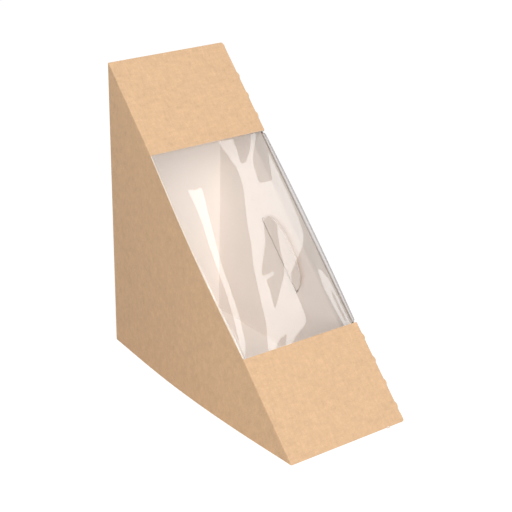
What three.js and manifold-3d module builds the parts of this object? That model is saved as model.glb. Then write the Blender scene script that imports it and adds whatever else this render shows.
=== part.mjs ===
// A wedge-shaped sandwich box folded from one sheet of kraft board, with a clear film window in its slanted front.
// Millimetres. X runs across the width, the slanted front faces -Y, the back stands at +Y and Z is up.
import * as THREE from 'three';
import { mergeVertices } from 'three/addons/utils/BufferGeometryUtils.js';
import Module from 'manifold-3d';

const wasm = await Module();
wasm.setup();

// The box
const boxHeight = 123;
const boxDepth = 123;
const boxWidth = 55.3;
const boardThickness = 0.4;
const pieceGap = 0.3; // clearance between separate pieces
const foldRadius = 0.2; // outside radius of the folds at the top and the back
const creaseRadius = 0.3; // outside radius of the creases at the front's sides
const leftBottomBow = 2.66; // how far the left triangle's bottom edge bulges
const leftWindowBow = 1.1; // how far its slanted edge bulges along the window
const leftFlapWidth = 12; // the back's glue flap, inside the left triangle
const leftFlapEnd = 8; // it stops this far from the base
const leftFlapTop = 34; // and this far from the top

// The window opening, measured up the slope from the front's bottom edge
const lowerBand = 43.1;
const windowLength = 88;
const sideCut = 2.2; // how far the opening runs down the inner right triangle

// The perforated crease at the front's right edge
const cutLength = 3.2; // each cut's tongue of board along the crease
const cutRise = 0.4; // how far it stands out
const lowerCutStart = 7.0; // the first cut above the front's bottom edge
const lowerCutPitch = 9.9;
const lowerCutCount = 4;
const upperCutStart = 7.5; // the first cut above the window
const upperCutPitch = 9.45;
const upperCutCount = 3;
const cutThickness = 0.3;
const earLength = 4.2; // the crease stops this far above the bottom edge
const earNotch = 0.5; // the crease's rounding runs this far past its ends
const earRadius = 1.0; // the front's bottom right corner
const topCornerRadius = 2.0; // the front's top right corner
const creaseTopRelief = 3.0; // the crease stops this far below the top
const nickInset = 8.5; // the torn tie on the bottom edge, from the right side
const nickWidth = 1.2;
const nickLength = 0.5;
const nickThickness = 0.25;

// The inner right triangle and its slit
const slitDepth = 26.4; // from the slanted edge, square to it
const slitShift = -1.3; // the slit's middle from the slanted edge's middle
const slitWidth = 1.7;
const slitEndGap = 0.5; // room at each end of the tongue
const slitRecess = 0.8; // how far the triangle leans in at the slit
const cornerRecess = 1.4; // and at its right-angled corner
const wallEdgeGap = 0.4; // between its free edges and the base and back

// The closing flap and its half-moon tongue
const tongueLength = 34.1;
const tongueRise = 11.6;
const tongueFullness = 2.4; // 2 would make it half an ellipse, more makes its ends blunter
const tongueGap = 0.15; // between the tongue and the triangle beside the slit
const tongueLean = 1.1; // how much further in its tip stands
const rampAngle = 60; // degrees, where the tongue passes through the slit
const tongueRoot = 3; // flat length of the tongue's own strip before the ramp
const flapCornerRadius = 3;
const flapFloorGap = 0.6;
const hingeGap = 0.3; // the crease line between the flap and the back

// The film
const filmThickness = 0.1;
const filmBandLap = 8; // behind each band
const filmSideLap = 10; // down the inside of each triangle
const filmBend = 0.8; // outside radius where it turns into a side lap
const filmSag = 0.7;

// How finely the curved pieces are stepped
const panelRows = 20;
const filmRows = 26;
const filmColumns = 22;
const bendSteps = 4;
const arcSteps = 6;
const mergeDistance = 0.01; // points of one piece closer than this become one
const overrun = 1; // how far a panel runs past the outline before it is trimmed

// Worked out from the sizes above
const halfWidth = boxWidth / 2;
const halfDepth = boxDepth / 2;
const slopeLength = Math.hypot(boxDepth, boxHeight);
const slopeCos = boxDepth / slopeLength;
const slopeSin = boxHeight / slopeLength;
const cornerDistance = boxDepth * slopeSin; // from the slanted edge to the right-angled corner
const windowEnd = lowerBand + windowLength;
const slitMiddle = slopeLength / 2 + slitShift;
const slitLength = tongueLength + 2 * slitEndGap;
const rightEdgeRecess = boardThickness + pieceGap; // the back and base end short of the closing flap
const kraft = new THREE.Color(0xc9a67c);
const clear = new THREE.Color(0xf2efec);

// Places on the slope: x across, inward square to the front, along up the slope
const slopeFrame = new THREE.Matrix4().makeBasis(
  new THREE.Vector3(1, 0, 0),
  new THREE.Vector3(0, slopeSin, -slopeCos),
  new THREE.Vector3(0, slopeCos, slopeSin),
);
slopeFrame.setPosition(0, -halfDepth, 0);

// Places on a side: depth across, height up, and x out of the page
const sideFrame = new THREE.Matrix4().makeBasis(
  new THREE.Vector3(0, 1, 0),
  new THREE.Vector3(0, 0, 1),
  new THREE.Vector3(1, 0, 0),
);

// Places on the front's own face: x across, up the slope, and outward
const frontFrame = new THREE.Matrix4().makeBasis(
  new THREE.Vector3(1, 0, 0),
  new THREE.Vector3(0, slopeCos, slopeSin),
  new THREE.Vector3(0, -slopeSin, slopeCos),
);
frontFrame.setPosition(0, -halfDepth, 0);

function solidFrom(geometry) {
  const bare = geometry.clone();
  bare.deleteAttribute('normal');
  bare.deleteAttribute('uv');
  const merged = mergeVertices(bare, 1e-4);
  return new wasm.Manifold(
    new wasm.Mesh({
      numProp: 3,
      vertProperties: merged.attributes.position.array,
      triVerts: new Uint32Array(merged.index.array),
    }),
  );
}

function meshFrom(solid, name, material) {
  const made = solid.simplify(mergeDistance).getMesh();
  const geometry = new THREE.BufferGeometry();
  geometry.setAttribute('position', new THREE.BufferAttribute(made.vertProperties, 3));
  geometry.setIndex(new THREE.BufferAttribute(made.triVerts, 1));
  geometry.computeVertexNormals();
  const mesh = new THREE.Mesh(geometry, material);
  mesh.name = name;
  return mesh;
}

// A flat outline pushed along its frame's third direction, from one place to another
function extruded(shape, from, to, frame) {
  const geometry = new THREE.ExtrudeGeometry(shape, {
    depth: to - from,
    bevelEnabled: false,
    curveSegments: arcSteps,
  });
  geometry.translate(0, 0, from);
  geometry.applyMatrix4(frame);
  return solidFrom(geometry);
}

function slopeBox(x0, x1, inward0, inward1, along0, along1) {
  const geometry = new THREE.BoxGeometry(x1 - x0, inward1 - inward0, along1 - along0);
  geometry.translate((x0 + x1) / 2, (inward0 + inward1) / 2, (along0 + along1) / 2);
  geometry.applyMatrix4(slopeFrame);
  return solidFrom(geometry);
}

function outline(points) {
  return new THREE.Shape(points.map(([a, b]) => new THREE.Vector2(a, b)));
}

// A convex outline, counter-clockwise, with each corner rounded by its own radius
function roundedOutline(corners, radii) {
  const shape = new THREE.Shape();
  corners.forEach((corner, i) => {
    const before = corners[(i + corners.length - 1) % corners.length];
    const after = corners[(i + 1) % corners.length];
    const comingIn = Math.atan2(corner[1] - before[1], corner[0] - before[0]);
    const goingOut = Math.atan2(after[1] - corner[1], after[0] - corner[0]);
    const turn = THREE.MathUtils.euclideanModulo(goingOut - comingIn, 2 * Math.PI);
    const radius = radii[i];
    const reach = radius * Math.tan(turn / 2);
    const startX = corner[0] - reach * Math.cos(comingIn);
    const startY = corner[1] - reach * Math.sin(comingIn);
    if (i === 0) shape.moveTo(startX, startY);
    else shape.lineTo(startX, startY);
    if (radius > 0) {
      const centreX = startX - radius * Math.sin(comingIn);
      const centreY = startY + radius * Math.cos(comingIn);
      shape.absarc(centreX, centreY, radius, comingIn - Math.PI / 2, comingIn + turn - Math.PI / 2, false);
    }
  });
  shape.closePath();
  return shape;
}

// The wedge's side outline, with the front, base and back moved in by these distances
function wedgeCorners(frontIn, baseIn, backIn) {
  const back = halfDepth - backIn;
  const frontAtBase = -halfDepth + (frontIn / slopeSin) + baseIn * (boxDepth / boxHeight);
  const topAtBack = (boxDepth - backIn) * (boxHeight / boxDepth) - frontIn / slopeCos;
  return [
    [frontAtBase, baseIn],
    [back, baseIn],
    [back, topAtBack],
  ];
}

// A strip of board seen on edge: an open path of points with half the thickness to each side
function ribbonOutline(path, thickness) {
  const sides = [1, -1].map((side) =>
    path.map((point, i) => {
      const before = path[Math.max(i - 1, 0)];
      const after = path[Math.min(i + 1, path.length - 1)];
      const first = new THREE.Vector2(point[0] - before[0], point[1] - before[1]);
      const second = new THREE.Vector2(after[0] - point[0], after[1] - point[1]);
      if (i === 0) first.copy(second);
      if (i === path.length - 1) second.copy(first);
      first.normalize();
      second.normalize();
      const mitre = first.clone().add(second).normalize();
      const stretch = (side * thickness) / 2 / Math.max(mitre.dot(first), 0.5);
      return [point[0] - mitre.y * stretch, point[1] + mitre.x * stretch];
    }),
  );
  const points = [...sides[0], ...sides[1].reverse()];
  const shape = outline(points);
  if (THREE.ShapeUtils.isClockWise(shape.getPoints())) return outline(points.reverse());
  return shape;
}

// A closed thin solid from one sheet of triangles given twice, as its outer and its inner points
function shellSolid(outer, inner, triangles) {
  const positions = [...outer, ...inner].flat();
  const shift = outer.length;
  const faces = [];
  const edges = new Map();
  for (const [a, b, c] of triangles) {
    faces.push(a, b, c, a + shift, c + shift, b + shift);
    for (const [from, to] of [[a, b], [b, c], [c, a]]) edges.set(from + '_' + to, [from, to]);
  }
  for (const [from, to] of edges.values()) {
    if (edges.has(to + '_' + from)) continue;
    faces.push(from, from + shift, to, to, from + shift, to + shift);
  }
  const geometry = new THREE.BufferGeometry();
  geometry.setAttribute('position', new THREE.Float32BufferAttribute(positions, 3));
  geometry.setIndex(faces);
  return solidFrom(geometry);
}

// How far the left triangle bulges at a place on it
function leftBow(y, z) {
  const depth = y + halfDepth;
  const along = depth * slopeCos + z * slopeSin;
  const front = z * (boxDepth / boxHeight);
  const reach = Math.max(boxDepth - front, 1e-6);
  const share = THREE.MathUtils.clamp((depth - front) / reach, 0, 1);
  const bottom = leftBottomBow * Math.sin(Math.PI * share) * Math.pow(Math.max(1 - z / boxHeight, 0), 1.5);
  const upWindow = THREE.MathUtils.clamp((along - lowerBand) / windowLength, 0, 1);
  const edge = leftWindowBow * Math.sin(Math.PI * upWindow) * (1 - share) * (1 - share);
  return bottom + edge;
}

// How far the inner right triangle leans in, by the distance from the slanted edge
function rightLean(inward) {
  if (inward <= slitDepth) return (slitRecess * inward) / slitDepth;
  const beyond = (inward - slitDepth) / (cornerDistance - slitDepth);
  return slitRecess + (cornerRecess - slitRecess) * beyond;
}

// The outside of the folded box, seen from the side, which every panel is trimmed to
function envelope() {
  const shape = roundedOutline(wedgeCorners(0, 0, 0), [0, foldRadius, foldRadius]);
  return extruded(shape, -2 * boxWidth, 2 * boxWidth, sideFrame);
}

// What rounds off a corner of an outline: towardX and towardY point out of the board there
function cornerRound(x, y, towardX, towardY, radius) {
  const shape = new THREE.Shape();
  const centreX = x - towardX * radius;
  const centreY = y - towardY * radius;
  const from = Math.atan2(0, towardX);
  const to = Math.atan2(towardY, 0);
  const turn = Math.atan2(Math.sin(to - from), Math.cos(to - from));
  shape.moveTo(x + towardX, centreY);
  for (let i = 0; i <= arcSteps; i++) {
    const angle = from + (turn * i) / arcSteps;
    shape.lineTo(centreX + radius * Math.cos(angle), centreY + radius * Math.sin(angle));
  }
  shape.lineTo(centreX, y + towardY);
  shape.lineTo(x + towardX, y + towardY);
  shape.closePath();
  return shape;
}

// Back, base and front as one sleeve, run past the outline. The back and base end short of the closing flap.
function sleeve() {
  const shape = outline(wedgeCorners(-overrun, -overrun, -overrun));
  shape.holes.push(outline(wedgeCorners(boardThickness, boardThickness, boardThickness)));
  const tube = extruded(shape, -halfWidth - leftBottomBow - overrun, halfWidth, sideFrame);
  const backAndBaseEnds = slopeBox(
    halfWidth - rightEdgeRecess,
    boxWidth,
    boardThickness + pieceGap,
    2 * cornerDistance,
    -overrun - boxDepth,
    slopeLength + overrun + boxDepth,
  );
  return tube.subtract(backAndBaseEnds);
}

// The inner right triangle, folded down from the front's right edge
function innerRightTriangle() {
  const middle = boardThickness / 2;
  const path = [
    [halfWidth - middle, middle],
    [halfWidth - middle - slitRecess, slitDepth],
    [halfWidth - middle - cornerRecess, cornerDistance],
  ];
  const sheet = extruded(
    ribbonOutline(path, boardThickness),
    earLength,
    slopeLength - creaseTopRelief,
    slopeFrame,
  );
  const legInset = boardThickness + wallEdgeGap;
  const room = extruded(outline(wedgeCorners(-overrun, legInset, legInset)), -boxWidth, boxWidth, sideFrame);
  const slit = slopeBox(
    halfWidth - 2 * cornerRecess,
    boxWidth,
    slitDepth - slitWidth / 2,
    slitDepth + slitWidth / 2,
    slitMiddle - slitLength / 2,
    slitMiddle + slitLength / 2,
  );
  return sheet.intersect(room).subtract(slit);
}

// What rounds off the crease at the front's right edge, past the ends of the fold
function rightCreaseRound() {
  const shape = cornerRound(halfWidth, 0, 1, -1, creaseRadius);
  return extruded(shape, earLength - earNotch, slopeLength - creaseTopRelief + earNotch, slopeFrame);
}

// The tongues of board that the perforated crease leaves standing out
function creaseCuts() {
  const lower = Array.from({ length: lowerCutCount }, (_, i) => lowerCutStart + i * lowerCutPitch);
  const upper = Array.from({ length: upperCutCount }, (_, i) => windowEnd + upperCutStart + i * upperCutPitch);
  const cuts = [...lower, ...upper].map((middle) => {
    const shape = new THREE.Shape();
    shape.moveTo(halfWidth - 2 * creaseRadius, middle - cutLength / 2);
    shape.lineTo(halfWidth - creaseRadius, middle - cutLength / 2);
    shape.quadraticCurveTo(
      halfWidth + creaseRadius + 2 * cutRise,
      middle,
      halfWidth - creaseRadius,
      middle + cutLength / 2,
    );
    shape.lineTo(halfWidth - 2 * creaseRadius, middle + cutLength / 2);
    shape.closePath();
    return extruded(shape, -cutThickness, overrun, frontFrame);
  });
  return cuts.reduce((all, one) => all.add(one));
}

// The window, with the strip that it takes off the top of the inner right triangle
function windowOpening() {
  const inside = halfWidth - 2 * sideCut;
  const shape = outline([
    [-boxWidth, -2 * overrun],
    [boxWidth, -2 * overrun],
    [boxWidth, sideCut],
    [inside, sideCut],
    [inside, 2 * boardThickness],
    [-boxWidth, 2 * boardThickness],
  ]);
  return extruded(shape, lowerBand, windowEnd, slopeFrame);
}

// A net of places over the left side, a little larger than the wedge, with its triangles facing out
function leftNet() {
  const [front, corner, top] = wedgeCorners(-overrun, -overrun, -overrun);
  const places = [];
  const index = new Map();
  for (let up = 0; up <= panelRows; up++) {
    for (let back = 0; back <= panelRows - up; back++) {
      index.set(up + '_' + back, places.length);
      const u = up / panelRows;
      const b = (up + back) / panelRows;
      places.push([
        THREE.MathUtils.lerp(front[0], corner[0], b),
        THREE.MathUtils.lerp(front[1], top[1], u),
      ]);
    }
  }
  const triangles = [];
  for (let up = 0; up < panelRows; up++) {
    for (let back = 0; back < panelRows - up; back++) {
      const here = index.get(up + '_' + back);
      const behind = index.get(up + '_' + (back + 1));
      const above = index.get(up + 1 + '_' + back);
      triangles.push([here, above, behind]);
      if (back < panelRows - up - 1) triangles.push([behind, above, index.get(up + 1 + '_' + (back + 1))]);
    }
  }
  return { places, triangles };
}

// The left triangle, bulging at its bottom edge and along the window
function leftTriangle() {
  const { places, triangles } = leftNet();
  const outer = places.map(([y, z]) => [-halfWidth - leftBow(y, z), y, z]);
  const inner = places.map(([y, z]) => [-halfWidth + boardThickness - leftBow(y, z), y, z]);
  return shellSolid(outer, inner, triangles);
}

// Everything to the left of the middle of that triangle's board, which the sleeve is trimmed by
function beyondLeftTriangle() {
  const { places, triangles } = leftNet();
  const far = places.map(([y, z]) => [-2 * boxWidth, y, z]);
  const near = places.map(([y, z]) => [-halfWidth + boardThickness / 2 - leftBow(y, z), y, z]);
  return shellSolid(far, near, triangles);
}

// The back's glue flap, on the left triangle's inner face
function leftGlueFlap() {
  const rows = panelRows / 2;
  const columns = 3;
  const low = boardThickness + leftFlapEnd;
  const high = boxHeight - leftFlapTop;
  const places = [];
  for (let i = 0; i <= rows; i++) {
    for (let j = 0; j <= columns; j++) {
      const across = (leftFlapWidth * j) / columns;
      const z = THREE.MathUtils.lerp(low + across / 2, high - across / 2, i / rows);
      places.push([halfDepth - boardThickness / 2 - across, z]);
    }
  }
  const triangles = [];
  for (let i = 0; i < rows; i++) {
    for (let j = 0; j < columns; j++) {
      const a = i * (columns + 1) + j;
      const b = a + columns + 1;
      triangles.push([a, a + 1, b], [a + 1, b + 1, b]);
    }
  }
  const outer = places.map(([y, z]) => [-halfWidth + boardThickness / 2 - leftBow(y, z), y, z]);
  const inner = places.map(([y, z]) => [-halfWidth + 2 * boardThickness - leftBow(y, z), y, z]);
  return shellSolid(outer, inner, triangles);
}

// What rounds off the crease between the left triangle and the front, on both bands
function leftCreaseRound() {
  const shape = cornerRound(-halfWidth, 0, -1, -1, creaseRadius);
  const lower = extruded(shape, -overrun, lowerBand - creaseRadius, slopeFrame);
  const upper = extruded(shape, windowEnd + creaseRadius, slopeLength + overrun, slopeFrame);
  return lower.add(upper);
}

// What rounds off the front's two right-hand corners
function frontCornerRounds() {
  const ear = cornerRound(halfWidth, 0, 1, -1, earRadius);
  const top = cornerRound(halfWidth, slopeLength, 1, 1, topCornerRadius);
  const lower = extruded(ear, -2 * boardThickness, overrun, frontFrame);
  const upper = extruded(top, -2 * boardThickness, overrun, frontFrame);
  return lower.add(upper);
}

// The torn tie left on the front's bottom edge
function bottomNick() {
  const root = 2 * nickThickness;
  const geometry = new THREE.BoxGeometry(nickWidth, nickLength + root, nickThickness);
  geometry.translate(halfWidth - nickInset, -halfDepth + (root - nickLength) / 2, nickThickness / 2);
  return solidFrom(geometry);
}

function carton() {
  const front = sleeve().subtract(beyondLeftTriangle()).add(innerRightTriangle());
  const creased = front.subtract(rightCreaseRound()).add(creaseCuts());
  const closed = creased.subtract(windowOpening()).add(leftTriangle()).add(leftGlueFlap());
  return closed
    .intersect(envelope())
    .subtract(leftCreaseRound())
    .subtract(frontCornerRounds())
    .add(bottomNick());
}

// The outer right triangle with the tongue that is tucked through the slit
function closingFlap() {
  const outerFace = halfWidth;
  const innerFace = halfWidth - boardThickness;
  const flapTop = boxHeight - slitDepth / slopeCos;
  const flapFront = -halfDepth + (slitDepth + flapFloorGap * slopeCos) / slopeSin;
  const hingeSide = halfDepth - hingeGap;
  const plate = extruded(
    roundedOutline(
      [
        [flapFront, flapFloorGap],
        [hingeSide, flapFloorGap],
        [hingeSide, flapTop - hingeGap * (boxHeight / boxDepth)],
      ],
      [flapCornerRadius, 0, flapCornerRadius],
    ),
    innerFace,
    outerFace,
    sideFrame,
  );
  const middle = boardThickness / 2;
  const wallInside = halfWidth - slitRecess - boardThickness;
  const wallMiddle = halfWidth - slitRecess - middle;
  const insideAtSlit = wallInside - tongueGap - middle;
  const rampRun = 1 / Math.tan(THREE.MathUtils.degToRad(rampAngle));
  const rampStart = slitDepth + (innerFace + middle - wallMiddle) * rampRun;
  const rampEnd = slitDepth - (wallMiddle - insideAtSlit) * rampRun;
  const strip = extruded(
    ribbonOutline(
      [
        [innerFace + middle, rampStart + tongueRoot],
        [innerFace + middle, rampStart],
        [insideAtSlit, rampEnd],
        [insideAtSlit - tongueLean, slitDepth - tongueRise],
      ],
      boardThickness,
    ),
    slitMiddle - tongueLength / 2,
    slitMiddle + tongueLength / 2,
    slopeFrame,
  );
  const moon = new THREE.Shape();
  moon.moveTo(slitMiddle - tongueLength / 2, rampStart + tongueRoot);
  moon.lineTo(slitMiddle - tongueLength / 2, slitDepth);
  for (let i = 1; i <= 4 * arcSteps; i++) {
    const angle = Math.PI - (Math.PI * i) / (4 * arcSteps);
    const alongArc = Math.sign(Math.cos(angle)) * Math.pow(Math.abs(Math.cos(angle)), 2 / tongueFullness);
    const upArc = Math.pow(Math.max(Math.sin(angle), 0), 2 / tongueFullness);
    moon.lineTo(slitMiddle + (tongueLength / 2) * alongArc, slitDepth - tongueRise * upArc);
  }
  moon.lineTo(slitMiddle + tongueLength / 2, rampStart + tongueRoot);
  moon.closePath();
  const moonFrame = new THREE.Matrix4().makeBasis(
    new THREE.Vector3(0, slopeCos, slopeSin),
    new THREE.Vector3(0, slopeSin, -slopeCos),
    new THREE.Vector3(-1, 0, 0),
  );
  moonFrame.setPosition(0, -halfDepth, 0);
  const moonPrism = extruded(moon, -boxWidth, boxWidth, moonFrame);
  const room = slopeBox(
    innerFace - 1,
    outerFace + 1,
    0,
    rampStart,
    slitMiddle - tongueLength / 2 - slitEndGap,
    slitMiddle + tongueLength / 2 + slitEndGap,
  );
  return plate.subtract(room).add(strip.intersect(moonPrism));
}

// How far the film stands in from its flat at a place, both given from 0 to 1 across and up the window
function filmSink(across, up) {
  if (up <= 0 || up >= 1) return 0;
  return filmSag * Math.sin(Math.PI * across) * Math.sin(Math.PI * up);
}

// The film patch: its left lap, the window and its right lap, one row for each place up the slope
function windowFilm() {
  const flat = boardThickness + pieceGap;
  const start = lowerBand - filmBandLap;
  const end = windowEnd + filmBandLap;
  const lapSteps = 3;
  const outer = [];
  const inner = [];
  for (let row = 0; row <= filmRows; row++) {
    const along = THREE.MathUtils.lerp(start, end, row / filmRows);
    const up = (along - lowerBand) / windowLength;
    const section = [];
    const place = (x, inward, dx, dInward) => section.push([[x, inward], [x + dx, inward + dInward]]);
    const leftAt = (inward) => {
      const spot = new THREE.Vector3(0, inward, along).applyMatrix4(slopeFrame);
      return -halfWidth + boardThickness + pieceGap - leftBow(spot.y, spot.z);
    };
    const rightAt = (inward) => halfWidth - boardThickness - pieceGap - rightLean(inward);
    const left = leftAt(flat + filmBend);
    const right = rightAt(flat + filmBend);
    for (let i = 0; i < lapSteps; i++) {
      const inward = THREE.MathUtils.lerp(filmSideLap, flat + filmBend, i / lapSteps);
      place(leftAt(inward), inward, filmThickness, 0);
    }
    for (let i = 0; i <= bendSteps; i++) {
      const angle = (i / bendSteps) * (Math.PI / 2);
      place(
        left + filmBend - filmBend * Math.cos(angle),
        flat + filmBend - filmBend * Math.sin(angle),
        filmThickness * Math.cos(angle),
        filmThickness * Math.sin(angle),
      );
    }
    for (let i = 1; i < filmColumns; i++) {
      const across = i / filmColumns;
      const x = THREE.MathUtils.lerp(left + filmBend, right - filmBend, across);
      place(x, flat + filmSink(across, up), 0, filmThickness);
    }
    for (let i = 0; i <= bendSteps; i++) {
      const angle = (i / bendSteps) * (Math.PI / 2);
      place(
        right - filmBend + filmBend * Math.sin(angle),
        flat + filmBend - filmBend * Math.cos(angle),
        -filmThickness * Math.sin(angle),
        filmThickness * Math.cos(angle),
      );
    }
    for (let i = 1; i <= lapSteps; i++) {
      const inward = THREE.MathUtils.lerp(flat + filmBend, filmSideLap, i / lapSteps);
      place(rightAt(inward), inward, -filmThickness, 0);
    }
    for (const [outside, inside] of section) {
      outer.push(new THREE.Vector3(outside[0], outside[1], along).applyMatrix4(slopeFrame).toArray());
      inner.push(new THREE.Vector3(inside[0], inside[1], along).applyMatrix4(slopeFrame).toArray());
    }
  }
  const columns = outer.length / (filmRows + 1);
  const triangles = [];
  for (let row = 0; row < filmRows; row++) {
    for (let column = 0; column < columns - 1; column++) {
      const a = row * columns + column;
      const b = a + columns;
      triangles.push([a, a + 1, b], [a + 1, b + 1, b]);
    }
  }
  return shellSolid(outer, inner, triangles);
}

const boardMaterial = new THREE.MeshStandardMaterial({ color: kraft, roughness: 0.85, metalness: 0 });
const flapMaterial = new THREE.MeshStandardMaterial({ color: kraft, roughness: 0.85, metalness: 0 });
const filmMaterial = new THREE.MeshStandardMaterial({
  color: clear,
  roughness: 0.08,
  metalness: 0,
  transparent: true,
  opacity: 0.25,
});

const group = new THREE.Group();
group.add(meshFrom(carton(), 'carton', boardMaterial));
group.add(meshFrom(closingFlap(), 'closing_flap', flapMaterial));
group.add(meshFrom(windowFilm(), 'window_film', filmMaterial));

// The origin is under the middle of everything that sticks out
group.position.set((leftBottomBow - cutRise) / 2, nickLength / 2, 0);

export default group;
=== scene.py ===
# Windowed sandwich box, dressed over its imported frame. Lengths in the dictionaries are in metres.
import bpy
import math
import numpy as np
from mathutils import Matrix, Vector


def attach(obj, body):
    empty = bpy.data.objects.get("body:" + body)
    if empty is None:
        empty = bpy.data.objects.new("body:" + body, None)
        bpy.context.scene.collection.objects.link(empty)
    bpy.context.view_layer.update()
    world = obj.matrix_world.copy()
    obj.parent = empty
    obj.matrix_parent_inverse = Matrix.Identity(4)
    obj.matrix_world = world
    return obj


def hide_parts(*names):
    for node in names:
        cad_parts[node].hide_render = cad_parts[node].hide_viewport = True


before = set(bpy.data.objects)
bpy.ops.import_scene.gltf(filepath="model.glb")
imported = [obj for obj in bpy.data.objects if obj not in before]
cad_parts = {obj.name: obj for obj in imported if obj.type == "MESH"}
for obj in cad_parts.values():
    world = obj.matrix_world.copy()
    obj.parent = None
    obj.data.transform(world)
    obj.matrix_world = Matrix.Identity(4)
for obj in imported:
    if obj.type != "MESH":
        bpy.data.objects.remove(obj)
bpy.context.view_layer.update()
scene = bpy.context.scene
mm = 0.001

# The box in the row's frame
box = {
    "halfWidth": 27.65 * mm,
    "halfDepth": 61.5 * mm,
    "height": 123 * mm,
    "centre": Vector((1.13 * mm, 0.25 * mm, 0)),  # the middle of its base
    "board": 0.4 * mm,
    "lowerBand": 43.1 * mm,
    "windowLength": 88 * mm,
    "leftBottomBow": 2.66 * mm,
    "leftWindowBow": 1.1 * mm,
}
plainWhite = (1, 1, 1, 1)
across = Vector((1, 0, 0))
outward = Vector((0, -math.sqrt(0.5), math.sqrt(0.5)))  # square to the slanted front
upSlope = Vector((0, math.sqrt(0.5), math.sqrt(0.5)))
frontFoot = box["centre"] + Vector((0, -box["halfDepth"], 0))


def onSlope(x, inward, along):
    # a place by its x, its depth behind the slanted front and its distance up it
    return frontFoot + across * x - outward * inward + upSlope * along


def deselectAll():
    if bpy.context.mode != "OBJECT":
        bpy.ops.object.mode_set(mode="OBJECT")
    bpy.ops.object.select_all(action="DESELECT")


def makeActive(piece):
    deselectAll()
    piece.select_set(True)
    bpy.context.view_layer.objects.active = piece


# Camera
print("camera")
camera = {
    "place": (-296.41 * mm, -400.23 * mm, 275.5 * mm),
    "turn": (66.1107, -0.6813, -36.3761),
    "lens": 97.549,
    "sensor": 36,
    "nearest": 10 * mm,
}
turn = [math.radians(angle) for angle in camera["turn"]]
bpy.ops.object.camera_add(location=camera["place"], rotation=turn)
photoCamera = bpy.context.object
photoCamera.name = "photo_camera"
photoCamera.data.lens = camera["lens"]
photoCamera.data.sensor_width = camera["sensor"]
photoCamera.data.clip_start = camera["nearest"]
scene.camera = photoCamera
eye = Vector(camera["place"])

# Light: a soft panel that the film mirrors, and an even surround
print("light")
light = {
    "distance": 1.7,
    "width": 0.45,
    "height": 0.9,
    "radiance": 1.7,
    "surround": 0.355,
    "white": 1.0,  # the surround as the camera, mirrors and clear pieces see it
    "aim": (0.0, 0.75 * mm, 87 * mm),  # the film's middle: x, depth, distance up the slope
}
filmMiddle = onSlope(*light["aim"])
toEye = (eye - filmMiddle).normalized()
mirrorWay = 2 * outward.dot(toEye) * outward - toEye
panelRight = (across - across.dot(mirrorWay) * mirrorWay).normalized()
panelUp = mirrorWay.cross(panelRight).normalized()
# flat film mirrors the panel's left edge
panelEdge = filmMiddle + mirrorWay * light["distance"]
panelMiddle = panelEdge + panelRight * light["width"] / 2
deselectAll()
bpy.ops.object.light_add(type="AREA", location=panelMiddle)
panel = bpy.context.object
panel.name = "softbox"
panel.data.shape = "RECTANGLE"
panel.data.size = light["width"]
panel.data.size_y = light["height"]
panel.data.energy = light["radiance"] * math.pi * light["width"] * light["height"]
panelTurn = Matrix((panelRight, panelUp, mirrorWay)).transposed().to_4x4()
panel.matrix_world = Matrix.Translation(panelMiddle) @ panelTurn
panel.visible_camera = False

# A second soft panel near the camera, which lights the inside through the window
fill = {
    "way": (-0.38, -0.78, 0.50),
    "distance": 1.6,
    "size": 1.28,
    "radiance": 4.7,
}
fillWay = Vector(fill["way"]).normalized()
fillPlace = filmMiddle + fillWay * fill["distance"]
deselectAll()
bpy.ops.object.light_add(type="AREA", location=fillPlace)
fillPanel = bpy.context.object
fillPanel.name = "fill_panel"
fillPanel.data.size = fill["size"]
fillPanel.data.energy = fill["radiance"] * math.pi * fill["size"] ** 2
fillPanel.rotation_euler = fillWay.to_track_quat("Z", "Y").to_euler()
fillPanel.visible_camera = False

world = bpy.data.worlds.new("studio")
scene.world = world
world.use_nodes = True
nodes, links = world.node_tree.nodes, world.node_tree.links
nodes.clear()
path = nodes.new("ShaderNodeLightPath")
seen = nodes.new("ShaderNodeMath")
seen.operation = "MAXIMUM"
seenAll = nodes.new("ShaderNodeMath")
seenAll.operation = "MAXIMUM"
surround = nodes.new("ShaderNodeBackground")
surround.inputs["Color"].default_value = plainWhite
surround.inputs["Strength"].default_value = light["surround"]
white = nodes.new("ShaderNodeBackground")
white.inputs["Color"].default_value = plainWhite
white.inputs["Strength"].default_value = light["white"]
pick = nodes.new("ShaderNodeMixShader")
out = nodes.new("ShaderNodeOutputWorld")
links.new(path.outputs["Is Camera Ray"], seen.inputs[0])
links.new(path.outputs["Is Glossy Ray"], seen.inputs[1])
links.new(seen.outputs[0], seenAll.inputs[0])
links.new(path.outputs["Is Transmission Ray"], seenAll.inputs[1])
links.new(seenAll.outputs[0], pick.inputs["Fac"])
links.new(surround.outputs[0], pick.inputs[1])
links.new(white.outputs[0], pick.inputs[2])
links.new(pick.outputs[0], out.inputs["Surface"])

# Floor
print("floor")
floorLook = {
    "size": 9.0,
    "paint": 0.8,
    "seenPaint": 0.32,  # what the camera sees: paler, with the object's shadow kept
    "seenGlow": 0.84,
}
deselectAll()
bpy.ops.mesh.primitive_plane_add(size=floorLook["size"], location=(0, 0, 0))
floor = bpy.context.object
floor.name = "floor"
floorPaint = bpy.data.materials.new("floor_paint")
floorPaint.use_nodes = True
nodes, links = floorPaint.node_tree.nodes, floorPaint.node_tree.links
nodes.clear()
path = nodes.new("ShaderNodeLightPath")
paint = nodes.new("ShaderNodeBsdfDiffuse")
paint.inputs["Color"].default_value = (floorLook["paint"],) * 3 + (1,)
seenPaint = nodes.new("ShaderNodeBsdfDiffuse")
seenPaint.inputs["Color"].default_value = (floorLook["seenPaint"],) * 3 + (1,)
glow = nodes.new("ShaderNodeEmission")
glow.inputs["Color"].default_value = plainWhite
glow.inputs["Strength"].default_value = floorLook["seenGlow"]
both = nodes.new("ShaderNodeAddShader")
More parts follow.
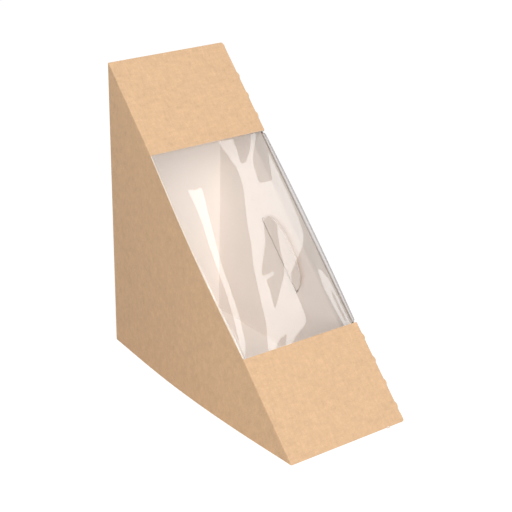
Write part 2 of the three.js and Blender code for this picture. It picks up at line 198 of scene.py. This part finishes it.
pick = nodes.new("ShaderNodeMixShader")
out = nodes.new("ShaderNodeOutputMaterial")
links.new(seenPaint.outputs[0], both.inputs[0])
links.new(glow.outputs[0], both.inputs[1])
links.new(path.outputs["Is Camera Ray"], pick.inputs["Fac"])
links.new(paint.outputs[0], pick.inputs[1])
links.new(both.outputs[0], pick.inputs[2])
links.new(pick.outputs[0], out.inputs["Surface"])
floor.data.materials.append(floorPaint)

# Materials
print("materials")


def linear(red, green, blue):
    # screen values of 0 to 255 as the shader's linear ones
    shares = [value / 255 for value in (red, green, blue)]
    return tuple(s / 12.92 if s <= 0.0404 else ((s + 0.055) / 1.055) ** 2.4 for s in shares)


paper = {
    "specular": 0.3,
    "turn": (0.35, 0.5, 0.2),  # the fibres lie a little askew
    "detail": 3,
    "mottleScale": 140,
    "fibreScale": 900,
    "fibreOne": (1, 0.35, 0.35),  # how the noise is stretched
    "fibreTwo": (0.35, 1, 0.6),
    "speckleScale": 2600,
    "speckleShare": 1.6,
    "fleckScale": 420,
    "fleckCore": 0.10,
    "fleckRim": 0.18,
    "relief": 0.06 * mm,
}


def boardMaterial(name, colour, mottle, speckle, fleck, roughness, bump):
    # paper board: soft mottling, long fibres, fine speckle and a few darker flecks
    material = bpy.data.materials.new(name)
    material.use_nodes = True
    nodes, links = material.node_tree.nodes, material.node_tree.links
    shader = nodes["Principled BSDF"]
    shader.inputs["Roughness"].default_value = roughness
    shader.inputs["Specular IOR Level"].default_value = paper["specular"]
    place = nodes.new("ShaderNodeTexCoord")
    total = None
    layers = (
        ("mottle", paper["mottleScale"], (1, 1, 1), mottle),
        ("fibreOne", paper["fibreScale"], paper["fibreOne"], speckle),
        ("fibreTwo", paper["fibreScale"], paper["fibreTwo"], speckle),
        ("speckle", paper["speckleScale"], (1, 1, 1), speckle * paper["speckleShare"]),
    )
    for label, scale, stretch, amount in layers:
        mapping = nodes.new("ShaderNodeMapping")
        mapping.inputs["Scale"].default_value = stretch
        mapping.inputs["Rotation"].default_value = paper["turn"]
        links.new(place.outputs["Object"], mapping.inputs["Vector"])
        noise = nodes.new("ShaderNodeTexNoise")
        noise.label = label
        noise.inputs["Scale"].default_value = scale
        noise.inputs["Detail"].default_value = paper["detail"]
        links.new(mapping.outputs[0], noise.inputs["Vector"])
        centred = nodes.new("ShaderNodeMath")
        centred.operation = "SUBTRACT"
        centred.inputs[1].default_value = 0.5
        links.new(noise.outputs["Fac"], centred.inputs[0])
        scaled = nodes.new("ShaderNodeMath")
        scaled.operation = "MULTIPLY"
        scaled.inputs[1].default_value = amount
        links.new(centred.outputs[0], scaled.inputs[0])
        if total is None:
            total = scaled
        else:
            added = nodes.new("ShaderNodeMath")
            added.operation = "ADD"
            links.new(total.outputs[0], added.inputs[0])
            links.new(scaled.outputs[0], added.inputs[1])
            total = added
    cells = nodes.new("ShaderNodeTexVoronoi")
    cells.inputs["Scale"].default_value = paper["fleckScale"]
    links.new(place.outputs["Object"], cells.inputs["Vector"])
    spot = nodes.new("ShaderNodeMapRange")
    spot.inputs["From Min"].default_value = paper["fleckCore"]
    spot.inputs["From Max"].default_value = paper["fleckRim"]
    spot.inputs["To Min"].default_value = -fleck
    spot.inputs["To Max"].default_value = 0
    links.new(cells.outputs["Distance"], spot.inputs["Value"])
    withFlecks = nodes.new("ShaderNodeMath")
    withFlecks.operation = "ADD"
    links.new(total.outputs[0], withFlecks.inputs[0])
    links.new(spot.outputs[0], withFlecks.inputs[1])
    level = nodes.new("ShaderNodeMath")
    level.operation = "ADD"
    level.inputs[1].default_value = 1
    links.new(withFlecks.outputs[0], level.inputs[0])
    tint = nodes.new("ShaderNodeVectorMath")
    tint.operation = "SCALE"
    tint.inputs[0].default_value = colour
    links.new(level.outputs[0], tint.inputs["Scale"])
    links.new(tint.outputs[0], shader.inputs["Base Color"])
    relief = nodes.new("ShaderNodeBump")
    relief.inputs["Strength"].default_value = bump
    relief.inputs["Distance"].default_value = paper["relief"]
    links.new(noise.outputs["Fac"], relief.inputs["Height"])  # the speckle, made last
    links.new(relief.outputs[0], shader.inputs["Normal"])
    return material


def filmMaterial(name, tint, base, roughness, grazing=1.0):
    # clear film: see through, with a mirror that grows towards grazing angles
    material = bpy.data.materials.new(name)
    material.use_nodes = True
    nodes, links = material.node_tree.nodes, material.node_tree.links
    nodes.clear()
    clear = nodes.new("ShaderNodeBsdfTransparent")
    clear.inputs["Color"].default_value = tint + (1,)
    gloss = nodes.new("ShaderNodeBsdfGlossy")
    gloss.inputs["Color"].default_value = plainWhite
    gloss.inputs["Roughness"].default_value = roughness
    facing = nodes.new("ShaderNodeLayerWeight")
    facing.inputs["Blend"].default_value = 0.5
    steep = nodes.new("ShaderNodeMath")
    steep.operation = "POWER"
    steep.inputs[1].default_value = 5  # as in Schlick's rule
    links.new(facing.outputs["Facing"], steep.inputs[0])
    share = nodes.new("ShaderNodeMath")
    share.operation = "MULTIPLY_ADD"
    share.inputs[1].default_value = (1 - base) * grazing
    share.inputs[2].default_value = base
    links.new(steep.outputs[0], share.inputs[0])
    pick = nodes.new("ShaderNodeMixShader")
    out = nodes.new("ShaderNodeOutputMaterial")
    links.new(share.outputs[0], pick.inputs["Fac"])
    links.new(clear.outputs[0], pick.inputs[1])
    links.new(gloss.outputs[0], pick.inputs[2])
    links.new(pick.outputs[0], out.inputs["Surface"])
    return material


kraftOutside = boardMaterial(
    "kraft_outside", linear(215, 178, 140),
    mottle=0.08, speckle=0.22, fleck=0.05, roughness=0.62, bump=0.4)
kraftInside = boardMaterial(
    "kraft_inside", linear(253, 244, 236),
    mottle=0.02, speckle=0.04, fleck=0.01, roughness=0.55, bump=0.3)
# the slit's cut edges, painted dark brown as the shade inside the slit
slitPaintedShade = boardMaterial(
    "kraft_slit_painted_shade", linear(118, 92, 70),
    mottle=0.1, speckle=0.2, fleck=0.02, roughness=0.8, bump=0.3)
kraftEdge = boardMaterial(
    "kraft_edge", linear(236, 222, 206),
    mottle=0.05, speckle=0.1, fleck=0.02, roughness=0.8, bump=0.3)
# a darker copy of the cut-edge colour for the closing flap: painted shade on the tongue's lit arc
# edge
tongueEdgePaintedShade = boardMaterial(
    "kraft_tongue_edge_painted_shade", linear(192, 178, 164),
    mottle=0.05, speckle=0.1, fleck=0.02, roughness=0.8, bump=0.3)
clearFilm = filmMaterial("clear_film_gloss", (0.99, 0.986, 0.984), base=0.068, roughness=0.02)
gluedFilm = filmMaterial(
    "clear_film_glued", (0.999, 0.998, 0.997), base=0.004, roughness=0.1, grazing=0.0)
foldedFilm = filmMaterial(
    "clear_film_folded", (0.82, 0.805, 0.80), base=0.03, roughness=0.2, grazing=0.1)
# a dark tint on a thin strip of the fold beside the right wall's cut edge: a painted shadow line
filmShadow = filmMaterial(
    "clear_film_painted_shadow", (0.56, 0.51, 0.49), base=0.01, roughness=0.3, grazing=0.0)


# Board pieces
board = {
    "weld": 0.002 * mm,
    "faceTurn": 0.6,  # a face that is turned further than this from its wall is a cut edge
    "openingMargin": 0.5 * mm,
    "smooth": math.radians(14),
    "faceWeight": 100,
}
walls = [  # outward normal, a point of the plane, how far its faces may lie from it
    (outward, onSlope(0, 0, 0), 1.2 * mm),
    (Vector((-1, 0, 0)), box["centre"] + Vector((-box["halfWidth"], 0, 0)), 3.2 * mm),
    (Vector((1, 0, 0)), box["centre"] + Vector((box["halfWidth"], 0, 0)), 3.2 * mm),
    (Vector((0, 1, 0)), box["centre"] + Vector((0, box["halfDepth"], 0)), 0.9 * mm),
    (Vector((0, 0, -1)), Vector((0, 0, 0)), 0.9 * mm),
]
slit = {"from": 24.5 * mm, "to": 28.5 * mm, "beyond": 24 * mm}  # by depth, and by x
freeEdge = {"at": 0.8 * mm, "within": 1.9 * mm, "near": 0.03 * mm, "move": 0.36 * mm}


def boardCopy(nodeName, pieceName, edge):
    # the CAD node's own shape as a welded mesh
    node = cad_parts[nodeName]
    piece = bpy.data.objects.new(pieceName, node.data.copy())
    scene.collection.objects.link(piece)
    makeActive(piece)
    piece.data.materials.clear()
    for material in (kraftOutside, kraftInside, edge, slitPaintedShade):
        piece.data.materials.append(material)
    bpy.ops.object.mode_set(mode="EDIT")
    bpy.ops.mesh.select_all(action="SELECT")
    bpy.ops.mesh.remove_doubles(threshold=board["weld"])
    bpy.ops.object.mode_set(mode="OBJECT")
    return piece


def closeCorner(piece):
    # the inner right triangle's free edges come up close to the back and the base
    back = box["centre"].y + box["halfDepth"] - freeEdge["at"]
    for vertex in piece.data.vertices:
        if vertex.co.x < box["centre"].x + box["halfWidth"] - freeEdge["within"]:
            continue
        if abs(vertex.co.y - back) < freeEdge["near"]:
            vertex.co.y += freeEdge["move"]
        if abs(vertex.co.z - freeEdge["at"]) < freeEdge["near"]:
            vertex.co.z -= freeEdge["move"]


def faceSide(centre, normal):
    # 0 outside, 1 inside, 2 a cut edge, 3 a cut edge of the slit, painted dark as the slit's shade
    best = 0
    upFront = (centre - frontFoot).dot(upSlope) - box["lowerBand"]
    inOpening = board["openingMargin"] < upFront < box["windowLength"] - board["openingMargin"]
    for wallNormal, point, reach in walls:
        if inOpening and wallNormal == outward:
            continue
        if abs((centre - point).dot(wallNormal)) > reach:
            continue
        along = normal.dot(wallNormal)
        if abs(along) > abs(best):
            best = along
    if abs(best) < board["faceTurn"]:
        depth = (frontFoot - centre).dot(outward)
        inSlit = slit["from"] < depth < slit["to"] and centre.x > slit["beyond"]
        return 3 if inSlit else 2
    return 0 if best > 0 else 1


def paintSides(piece):
    # kraft outside, pale inside and raw at the cut edges; the slit's cut edges, and all of the
    # closing flap's, carry painted shade
    for face in piece.data.polygons:
        face.material_index = faceSide(face.center, face.normal)
    makeActive(piece)
    bpy.ops.object.shade_smooth_by_angle(angle=board["smooth"])
    weighted = piece.modifiers.new("weighted", "WEIGHTED_NORMAL")
    weighted.keep_sharp = True
    weighted.weight = board["faceWeight"]
    bpy.ops.object.modifier_apply(modifier="weighted")


print("carton")
carton = boardCopy("carton", "folded_carton", kraftEdge)
closeCorner(carton)
paintSides(carton)
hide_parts("carton")
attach(carton, "box")

print("closing flap")
# the flap's cut edges, the tongue's arc among them, take the darker edge colour as painted shade
flap = boardCopy("closing_flap", "closing_flap_card", tongueEdgePaintedShade)
paintSides(flap)
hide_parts("closing_flap")
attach(flap, "flap")

# Film: the soft panel's edge shows up in its buckles
print("film")
film = {
    "rows": 240,
    "columns": 176,
    "lapColumns": 20,  # of them, on each side lap
    "bendColumns": 10,  # and in each bend
    "samples": 241,  # across, where the buckles are worked out
    "behindFront": 0.7 * mm,
    "sink": 0.2 * mm,  # a buckle's usual depth, where its reflection is worked out
    "touch": 0.18 * mm,  # how near each row's highest place comes to the bands' inner face
    "besideWall": 0.3 * mm,
    "bandLap": 8 * mm,
    "sideLap": 10 * mm,
    "bend": 0.8 * mm,
    "thickness": 0.1 * mm,
    "smooth": math.radians(40),
    "tilt": 0.013,  # how far a buckle turns past the place where the panel's edge shows
    "leastTilt": 0.3,  # a row's share of it, to balance the row
    "mostTilt": 1.7,
    "tiltBlur": 7,  # in rows, and how many rows it reaches
    "tiltReach": 18,
    "heightBlur": 2.2,
    "heightReach": 8,
    "steps": 6,  # in which the tilts are found, and the small turn they are tried with
    "nudge": 1e-3,
    "bandFade": 4 * mm,  # the buckles end this far behind the bands
    "rightFade": 1.5 * mm,  # and the right fold fades out over the window's first and last part
    "rightLean": 0.8 / 28.5,  # of the right wall, inwards
    "rightRise": 0.95 * mm,  # along the window the film stands up to the slanted edge's own line
    "rightReach": 0.6 * mm,
    "overhang": 0.7 * mm,  # and bulges over the wall's cut edge,
    "overhangMiddle": 0.7 * mm,  # most in the middle of the window
    "boxy": 0.6,  # how square the right fold is there
    "wallEdge": 2.2 * mm,  # the depth of the right wall's cut edge
    "foldFront": 1.5 * mm,  # the fold's front begins this far from the right
    "foldBack": 0.2 * mm,
    "hazeFrom": 1.0 * mm,  # by depth
    "shadowFrom": 1.75 * mm,
    "shadowTo": 2.0 * mm,
    "edge": 0.45,  # half the width of a buckle's turn, in mm
    "shift": -26.52,  # from the outlines' x to the part's
    # outlines of the buckles that face the panel: x across and distance up the slope, in mm
    "bright": [
        [
            (6.9, 116.1), (8.6, 113), (8.2, 100), (6.9, 90), (6, 80), (5.2, 70), (3.6, 60),
            (1.9, 52), (0.6, 44.5), (1.4, 46), (3.6, 52), (5.6, 60), (7.1, 70), (7.8, 80),
            (10, 90), (12, 100), (14.9, 113), (16.9, 115.2), (14.9, 113.9), (11.9, 113.2),
            (9, 114)
        ],
        [
            (31.1, 132), (33.3, 121.3), (34.1, 118.6), (33.3, 110.8), (29.7, 101.3),
            (27.1, 94.1), (24.7, 85.2), (21.9, 77.4), (20.2, 70.8), (18.3, 63.6), (16.3, 55.2),
            (14.7, 49.7), (11.3, 42), (20.2, 42), (24.7, 45.8), (31.3, 49.1), (33.3, 50.8),
            (33.8, 55.2), (34.5, 66.3), (35.8, 70.8), (41.9, 75.8), (46.9, 80.2), (49.7, 84.1),
            (50.8, 90.8), (51.3, 99.7), (52.6, 110.8), (53.2, 132), (52.3, 132), (52.1, 127),
            (51.9, 123.5), (51.1, 120.5), (49.1, 115.1), (47.4, 109.4), (40.6, 109.6),
            (41.3, 113), (42.4, 119.4), (45.2, 123.6), (50.2, 131), (48, 132), (44.1, 124.7),
            (39.7, 119.7), (36.3, 118.8), (37.4, 123), (38.6, 132)
        ],
        [
            (0.9, 107), (1.5, 103), (2.2, 97), (2.6, 92), (2, 88), (2.3, 92), (1.8, 97),
            (1.1, 103)
        ],
        [
            (0.9, 90), (1.8, 86), (2.6, 82), (2.4, 76), (3, 82), (2.2, 86.5)
        ],
        [
            (48.6, 67.4), (49.6, 67.4), (51.2, 62), (52.6, 55), (53.2, 48), (53, 43),
            (48.4, 43), (48.2, 52), (47.6, 60)
        ],
    ],
    "dark": [  # and of those that face away within them
        [
            (35.2, 94.6), (31.3, 85.2), (25.5, 77.5), (23, 73.6), (22.8, 72), (24, 71.4),
            (23.6, 66), (22.4, 61), (20.8, 56), (24.7, 59.9), (32.4, 68.6), (34.6, 72),
            (35.6, 76), (36.3, 80), (38, 85.5), (40.2, 91), (38.5, 95)
        ],
        [
            (13.5, 42), (16, 45.4), (18.5, 47.4), (23, 48.9), (23.8, 48), (21.5, 45), (19, 42)
        ],
        [
            (49.6, 60), (50.6, 60), (51, 50), (50.6, 44), (49.4, 44), (49.2, 52)
        ],
    ],
    "wisp": [
        (23.4, 71.4), (26, 72), (29.2, 72.3), (29.2, 71.6), (26, 71.2), (24, 70.6)
    ],
}


def signedDistance(points, outline):
    # how far inside the outline each point is, negative outside
    inside = np.zeros(len(points), bool)
    nearest = np.full(len(points), 1e9)
    corners = np.array(outline, float)
    for start, end in zip(corners, np.roll(corners, -1, axis=0)):
        side = end - start
        t = np.clip(((points - start) @ side) / max(side @ side, 1e-12), 0, 1)
        nearest = np.minimum(nearest, np.hypot(*(points - start - t[:, None] * side).T))
        crosses = (start[1] > points[:, 1]) != (end[1] > points[:, 1])
        with np.errstate(divide="ignore", invalid="ignore"):
            at = (points[:, 1] - start[1]) * side[0] / side[1] + start[0]
        inside ^= crosses & (points[:, 0] < at)
    return np.where(inside, nearest, -nearest)


def leftBow(y, z):
    # how far the left wall bulges, as on the CAD part
    depth = y + box["halfDepth"]
    along = (depth + z) * math.sqrt(0.5)
    reach = max(2 * box["halfDepth"] - z, 1e-6)
    share = min(max((depth - z) / reach, 0), 1)
    bottom = box["leftBottomBow"] * math.sin(math.pi * share) * max(1 - z / box["height"], 0) ** 1.5
    up = min(max((along - box["lowerBand"]) / box["windowLength"], 0), 1)
    return bottom + box["leftWindowBow"] * math.sin(math.pi * up) * (1 - share) ** 2


leftEdge = -box["halfWidth"] + box["board"] + film["besideWall"]
rightEdge = box["halfWidth"] - box["board"] - film["besideWall"]
windowTop = box["lowerBand"] + box["windowLength"]
xs = np.linspace(leftEdge, rightEdge, film["samples"])
alongs = np.linspace(
    box["lowerBand"] - film["bandLap"], windowTop + film["bandLap"], film["rows"] + 1)
gridX, gridA = np.meshgrid(xs, alongs)
points = np.stack([gridX.ravel() / mm - film["shift"], gridA.ravel() / mm], 1)
inBright = np.max([signedDistance(points, outline) for outline in film["bright"]], axis=0)
inDark = np.max([signedDistance(points, outline) for outline in film["dark"]], axis=0)
depthIn = np.minimum(inBright, -inDark)
depthIn = np.maximum(depthIn, signedDistance(points, film["wisp"]))
turned = np.clip(depthIn / film["edge"], -1, 1).reshape(gridX.shape)


def panelOffset(x, a, tilt):
    # where the mirrored sight line meets the panel's plane, measured from the panel's left edge
    spot = np.array(frontFoot) + x[..., None] * np.array(across)
    spot = spot - (film["behindFront"] + film["sink"]) * np.array(outward)
    spot = spot + a[..., None] * np.array(upSlope)
    sight = np.array(eye) - spot
    sight /= np.linalg.norm(sight, axis=-1, keepdims=True)
    normal = np.array(outward) + tilt[..., None] * np.array(across)
    normal /= np.linalg.norm(normal, axis=-1, keepdims=True)
    mirrored = 2 * (normal * sight).sum(-1, keepdims=True) * normal - sight
    reach = ((np.array(panelEdge) - spot) @ np.array(mirrorWay)) / (mirrored @ np.array(mirrorWay))
    hit = spot + reach[..., None] * mirrored
    return (hit - np.array(panelEdge)) @ np.array(panelRight)


def easeInOut(share):
    return share * share * (3 - 2 * share)


def bell(sigma, reach):
    # a blur's weights, from -reach to reach
    weights = np.exp(-0.5 * (np.arange(-reach, reach + 1) / sigma) ** 2)
    return weights / weights.sum()


def alongRows(values):
    # blurred from row to row, as the tilts are
    weights = bell(film["tiltBlur"], film["tiltReach"])
    return np.convolve(np.pad(values, film["tiltReach"], mode="edge"), weights, mode="valid")


# the tilt at which each place mirrors the panel's edge, found in a few steps
threshold = np.zeros_like(gridX)
nudge = film["nudge"]
for _ in range(film["steps"]):
    here = panelOffset(gridX, gridA, threshold)
    slope = (panelOffset(gridX, gridA, threshold + nudge) - here) / nudge
    threshold -= here / slope

# each row's tilts are balanced, so that the film meets both side walls
step = xs[1] - xs[0]
facingOn = np.clip(turned, 0, 1)
facingOff = np.clip(-turned, 0, 1)
sumOn, sumOff, sumBase = facingOn.sum(1), facingOff.sum(1), threshold.sum(1)
turnOn = (2 * film["tilt"] * sumOff - sumBase) / (sumOn + sumOff)
turnOn = np.clip(turnOn, film["leastTilt"] * film["tilt"], film["mostTilt"] * film["tilt"])
turnOn = alongRows(turnOn)
turnOff = 2 * film["tilt"] - turnOn
tilt = threshold + turnOn[:, None] * facingOn - turnOff[:, None] * facingOff
height = -np.cumsum(tilt, axis=1) * step
height -= height[:, :1]

# the buckles fade out behind the bands, and each row is set close to the bands' inner face
upWindow = (alongs - box["lowerBand"]) / box["windowLength"]
pastWindow = np.maximum(-upWindow, upWindow - 1) * box["windowLength"]
underBand = easeInOut(np.clip(1 - pastWindow / film["bandFade"], 0, 1))
height = height * underBand[:, None]
padded = np.pad(height, ((film["heightReach"],) * 2, (0, 0)), mode="edge")
blur = bell(film["heightBlur"], film["heightReach"])
height = sum(padded[i:i + len(alongs)] * part for i, part in enumerate(blur))
height = height - alongRows(height.max(axis=1))[:, None] + film["touch"]

# along the window's right side the film rises to the slanted edge
fromEnds = np.minimum(upWindow, 1 - upWindow) * box["windowLength"]
inWindow = easeInOut(np.clip(fromEnds / film["rightFade"], 0, 1))
middle = np.sin(math.pi * np.clip(upWindow, 0, 1))
overhang = inWindow * (film["overhang"] + film["overhangMiddle"] * middle)
beside = np.clip(1 + (xs - xs[-1] + film["bend"]) / film["rightReach"], 0, 1)
height += (film["rightRise"] - height) * easeInOut(beside)[None] * inWindow[:, None]


def leftAt(inward, along):
    spot = onSlope(0, inward, along)
    return leftEdge - leftBow(spot.y - box["centre"].y, spot.z)


def rightAt(inward):
    return rightEdge - film["rightLean"] * inward


deselectAll()
bpy.ops.mesh.primitive_grid_add(
    x_subdivisions=film["columns"], y_subdivisions=film["rows"], size=1, location=(0, 0, 0))
filmSheet = bpy.context.object
filmSheet.name = "window_film_sheet"
last, laps, bends = film["columns"], film["lapColumns"], film["bendColumns"]
inner = film["behindFront"] + film["bend"]  # where the bends end and the side laps begin
for vertex in filmSheet.data.vertices:
    column = round((vertex.co.x + 0.5) * film["columns"])
    row = round((vertex.co.y + 0.5) * film["rows"])
    along = alongs[row]
    left, right = leftAt(inner, along), rightAt(inner)
    if column < laps:
        inward = inner + (film["sideLap"] - inner) * (1 - column / laps) ** 2
        x = leftAt(inward, along)
        lift = 0
    elif column <= laps + bends:
        angle = (column - laps) / bends * math.pi / 2
        x = left + film["bend"] * (1 - math.cos(angle))
        inward = inner - film["bend"] * math.sin(angle)
        lift = height[row, 0] * math.sin(angle)
    elif column < last - laps - bends:
        share = (column - laps - bends) / (last - 2 * laps - 2 * bends)
        x = (left + film["bend"]) * (1 - share) + (right - film["bend"]) * share
        inward = film["behindFront"]
        lift = float(np.interp(x, xs, height[row]))
    elif column <= last - laps:
        boxy = film["boxy"] * inWindow[row]
        angle = ((last - laps - column) / bends) ** (1 + boxy) * math.pi / 2
        outwards, upwards = math.cos(angle) ** (1 - boxy), math.sin(angle) ** (1 - boxy)
        x = right - film["bend"] + (film["bend"] + overhang[row]) * outwards
        inward = inner - film["bend"] * upwards
        lift = height[row, -1] * upwards
    else:
        inward = inner + (film["sideLap"] - inner) * (1 - (last - column) / laps) ** 2
        clear = max((film["wallEdge"] - inward) / (film["wallEdge"] - inner), 0)
        x = rightAt(inward) + overhang[row] * min(clear, 1) ** 0.5
        lift = height[row, -1] * clear
    vertex.co = onSlope(x, inward - lift, along)
filmSheet.data.update()
for material in (clearFilm, gluedFilm, foldedFilm, filmShadow):
    filmSheet.data.materials.append(material)
for face in filmSheet.data.polygons:
    depth = (frontFoot - face.center).dot(outward)
    along = (face.center - frontFoot).dot(upSlope)
    fromRight = rightEdge + box["centre"].x - face.center.x
    if not box["lowerBand"] < along < windowTop or depth > film["wallEdge"]:
        face.material_index = 1
    elif fromRight < film["foldBack"] and depth > film["hazeFrom"]:
        # the strip just past the wall's cut edge takes the painted shadow tint
        face.material_index = 3 if film["shadowFrom"] < depth < film["shadowTo"] else 2
    elif fromRight < film["foldFront"]:
        face.material_index = 1
makeActive(filmSheet)
thicken = filmSheet.modifiers.new("thickness", "SOLIDIFY")
thicken.thickness = film["thickness"]
thicken.offset = -1
bpy.ops.object.modifier_apply(modifier="thickness")
bpy.ops.object.shade_smooth_by_angle(angle=film["smooth"])
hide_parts("window_film")
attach(filmSheet, "box")

scene.view_settings.view_transform = "Standard"
